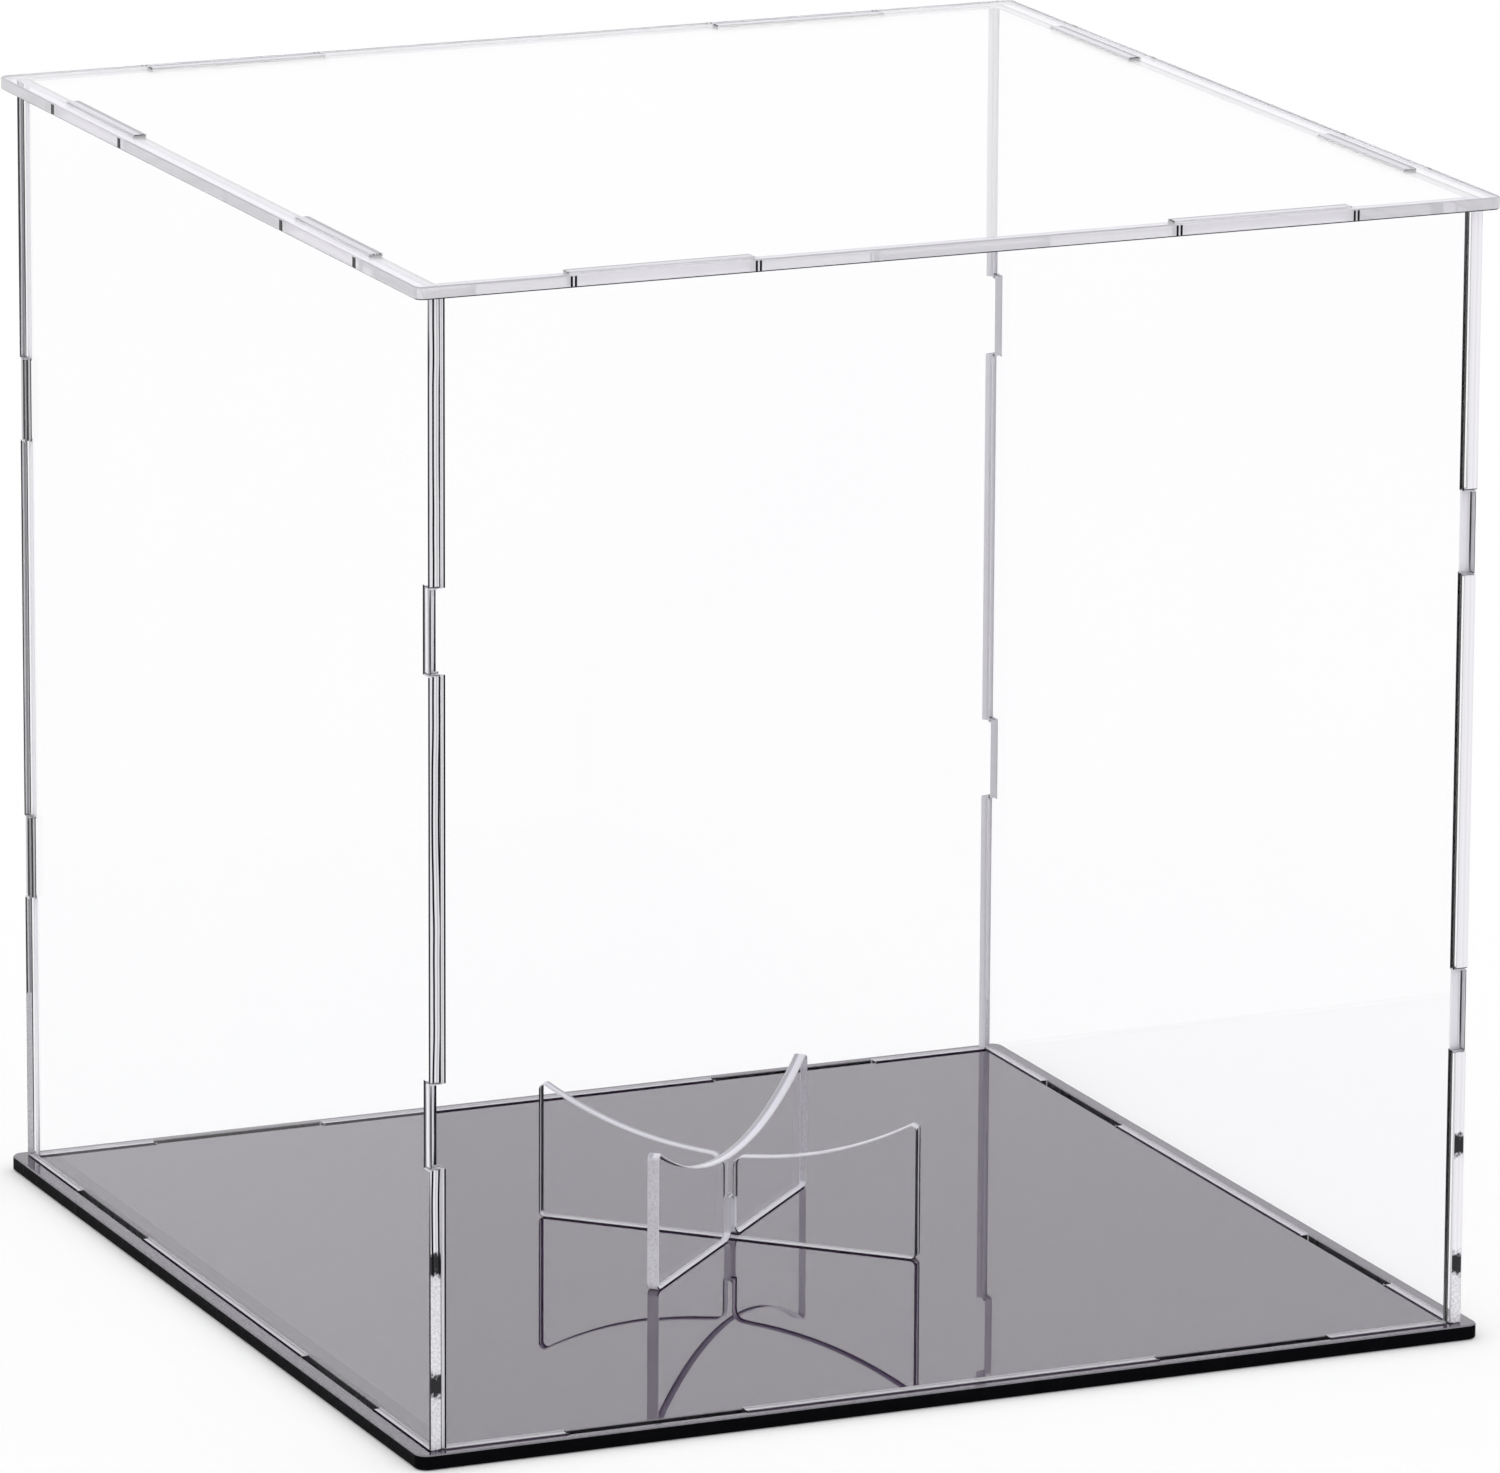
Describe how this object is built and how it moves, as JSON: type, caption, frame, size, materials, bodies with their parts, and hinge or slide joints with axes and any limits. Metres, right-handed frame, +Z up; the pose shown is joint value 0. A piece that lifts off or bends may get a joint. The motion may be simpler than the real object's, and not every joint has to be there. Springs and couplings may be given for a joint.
{
  "type": "ball display case",
  "caption": "Clear acrylic cube display case for a ball: tab-and-slot panels lift off a glossy black base plate, with a crossed half-lap stand inside that cradles the ball.",
  "frame": {"origin": "centre of the base plate's underside, which stands on the table", "axes": "+Z up; -Y is the front; +X is to the right seen from the front"},
  "size_m": [0.27, 0.27, 0.2749],
  "materials": {
    "clear_acrylic": "clear cast acrylic sheet, polished faces, laser-cut edges",
    "black_acrylic": "black acrylic sheet, mirror gloss"
  },
  "bodies": {
    "base": {"base_plate": "black_acrylic"},
    "cover": {"front_panel": "clear_acrylic", "back_panel": "clear_acrylic", "left_panel": "clear_acrylic", "right_panel": "clear_acrylic"},
    "lid": {"top_panel": "clear_acrylic"},
    "stand_lower": {"stand_lower_plate": "clear_acrylic"},
    "stand_upper": {"stand_upper_plate": "clear_acrylic"}
  },
  "joints": [
    {"name": "cover_lift", "type": "slide", "parent": "base", "child": "cover", "axis": [0, 0, 1], "range_m": [0, 0.3]},
    {"name": "lid_lift", "type": "slide", "parent": "cover", "child": "lid", "axis": [0, 0, 1], "range_m": [0, 0.06]},
    {"name": "stand_lift", "type": "slide", "parent": "base", "child": "stand_lower", "axis": [0, 0, 1], "range_m": [0, 0.15]},
    {"name": "stand_upper_lift", "type": "slide", "parent": "stand_lower", "child": "stand_upper", "axis": [0, 0, 1], "range_m": [0, 0.05]}
  ]
}
